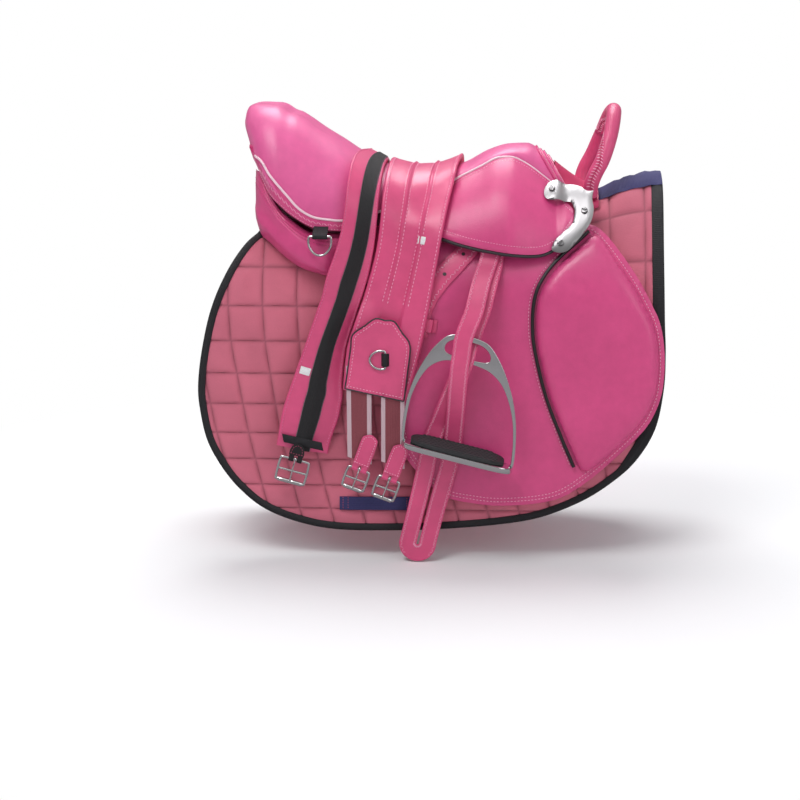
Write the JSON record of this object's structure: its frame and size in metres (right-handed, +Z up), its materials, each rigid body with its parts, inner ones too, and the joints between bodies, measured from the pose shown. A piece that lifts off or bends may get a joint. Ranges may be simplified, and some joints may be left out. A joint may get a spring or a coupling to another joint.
{
  "type": "riding saddle",
  "caption": "Pony riding saddle with grab handle on a quilted pad, girths laid over the seat and stirrups on loops.",
  "frame": {"origin": "underside of the pad at the spine, where the back or rack carries it", "axes": "+X forward to the pommel, +Z up, the side with the hanging girth ends is -Y"},
  "size_m": [0.542, 0.3318, 0.5233],
  "materials": {
    "pad_quilt": "soft quilted cotton, dusty pink",
    "binding": "woven edge tape, black",
    "webbing": "woven webbing, navy",
    "seat_leather": "smooth grained leather, soft sheen",
    "flap_leather": "grained leather, satin",
    "strap_leather": "firm strap leather, stitched",
    "panel_leather": "soft leather over flocking",
    "girth_leather": "padded folded leather",
    "core": "crimson underlay",
    "piping_white": "white cord piping",
    "piping_black": "black leather piping",
    "plate_steel": "satin stainless",
    "bright_steel": "polished stainless",
    "elastic_black": "woven elastic, black",
    "elastic_brown": "woven elastic, brown with pale edges",
    "tread_rubber": "ribbed rubber"
  },
  "bodies": {
    "pad": {"saddle_pad": "pad_quilt", "pad_binding": "binding", "pad_spine_band": "webbing", "pad_girth_loop_left": "webbing", "pad_girth_loop_right": "webbing"},
    "saddle": {"tree": "core", "seat": "seat_leather", "seat_piping": "piping_white", "pommel_head": "core", "grab_handle": "flap_leather", "panel_left": "panel_leather", "panel_right": "panel_leather", "skirt_left": "flap_leather", "skirt_right": "flap_leather", "flap_left": "flap_leather", "flap_right": "flap_leather", "knee_pad_left": "flap_leather", "knee_pad_right": "flap_leather", "knee_piping_left": "piping_black", "knee_piping_right": "piping_black", "pommel_plate_left": "plate_steel", "pommel_plate_right": "plate_steel", "stirrup_bar_left": "bright_steel", "stirrup_bar_right": "bright_steel", "leather_tail_left": "strap_leather", "leather_tail_right": "strap_leather", "flap_keeper_left": "strap_leather", "flap_keeper_right": "strap_leather", "rear_ring_tab_left": "elastic_black", "rear_ring_tab_right": "elastic_black", "plate_screw_left_1": "plate_steel", "plate_screw_left_2": "plate_steel", "plate_screw_left_3": "plate_steel", "plate_screw_right_1": "plate_steel", "plate_screw_right_2": "plate_steel", "plate_screw_right_3": "plate_steel"},
    "front_girth": {"front_girth": "girth_leather", "front_elastics": "elastic_brown", "front_patch": "flap_leather", "far_buckle_1": "bright_steel", "far_buckle_2": "bright_steel"},
    "rear_girth": {"rear_girth": "girth_leather", "rear_elastic": "elastic_black", "far_buckle_3": "bright_steel"},
    "stirrup_left": {"stirrup_leather_left": "strap_leather", "stirrup_iron_left": "bright_steel", "stirrup_tread_left": "tread_rubber"},
    "stirrup_right": {"stirrup_leather_right": "strap_leather", "stirrup_iron_right": "bright_steel", "stirrup_tread_right": "tread_rubber"},
    "rear_ring_left": {"rear_ring_left": "bright_steel"},
    "rear_ring_right": {"rear_ring_right": "bright_steel"},
    "patch_ring": {"patch_ring": "bright_steel"},
    "front_buckle_1": {"front_buckle_1": "bright_steel"},
    "front_buckle_2": {"front_buckle_2": "bright_steel"},
    "rear_buckle": {"rear_buckle": "bright_steel"},
    "front_tongue_1": {"front_tongue_1": "bright_steel"},
    "front_tongue_2": {"front_tongue_2": "bright_steel"},
    "rear_tongue": {"rear_tongue": "bright_steel"}
  },
  "joints": [
    {"name": "saddle_lift", "type": "slide", "parent": "pad", "child": "saddle", "axis": [0, 0, 1], "range_m": [0, 0.06]},
    {"name": "front_girth_lift", "type": "slide", "parent": "saddle", "child": "front_girth", "axis": [0.2873, 0, 0.9578], "range_m": [0, 0.012]},
    {"name": "rear_girth_lift", "type": "slide", "parent": "saddle", "child": "rear_girth", "axis": [0.2873, 0, 0.9578], "range_m": [0, 0.012]},
    {"name": "stirrup_left_swing", "type": "hinge", "parent": "saddle", "child": "stirrup_left", "pos_m": [0.075, 0.0816, 0.02376], "axis": [1, 0, 0], "range_deg": [0, 6.5]},
    {"name": "stirrup_right_swing", "type": "hinge", "parent": "saddle", "child": "stirrup_right", "pos_m": [0.075, -0.0816, 0.02376], "axis": [1, 0, 0], "range_deg": [-6.5, 0]},
    {"name": "rear_ring_left_swing", "type": "hinge", "parent": "saddle", "child": "rear_ring_left", "pos_m": [-0.1205, 0.1215, -0.003], "axis": [1, 0, 0], "range_deg": [0, 90]},
    {"name": "rear_ring_right_swing", "type": "hinge", "parent": "saddle", "child": "rear_ring_right", "pos_m": [-0.1205, -0.1215, -0.003], "axis": [1, 0, 0], "range_deg": [-90, 0]},
    {"name": "patch_ring_swing", "type": "hinge", "parent": "front_girth", "child": "patch_ring", "pos_m": [-0.046, -0.13435, -0.142], "axis": [0, 0, 1], "range_deg": [0, 120]},
    {"name": "front_buckle_1_swing", "type": "hinge", "parent": "front_girth", "child": "front_buckle_1", "pos_m": [-0.0765, -0.12935, -0.272], "axis": [0.9397, 0, -0.342], "range_deg": [-75, 0]},
    {"name": "front_buckle_2_swing", "type": "hinge", "parent": "front_girth", "child": "front_buckle_2", "pos_m": [-0.0415, -0.12935, -0.283], "axis": [0.9397, 0, -0.342], "range_deg": [-75, 0]},
    {"name": "rear_buckle_swing", "type": "hinge", "parent": "rear_girth", "child": "rear_buckle", "pos_m": [-0.151, -0.12636, -0.262], "axis": [0.9659, 0, -0.2588], "range_deg": [-75, 0]},
    {"name": "front_tongue_1_swing", "type": "hinge", "parent": "front_buckle_1", "child": "front_tongue_1", "pos_m": [-0.0765, -0.12935, -0.272], "axis": [0.9397, 0, -0.342], "range_deg": [-35, 0]},
    {"name": "front_tongue_2_swing", "type": "hinge", "parent": "front_buckle_2", "child": "front_tongue_2", "pos_m": [-0.0415, -0.12935, -0.283], "axis": [0.9397, 0, -0.342], "range_deg": [-35, 0]},
    {"name": "rear_tongue_swing", "type": "hinge", "parent": "rear_buckle", "child": "rear_tongue", "pos_m": [-0.151, -0.12636, -0.262], "axis": [0.9659, 0, -0.2588], "range_deg": [-35, 0]}
  ]
}
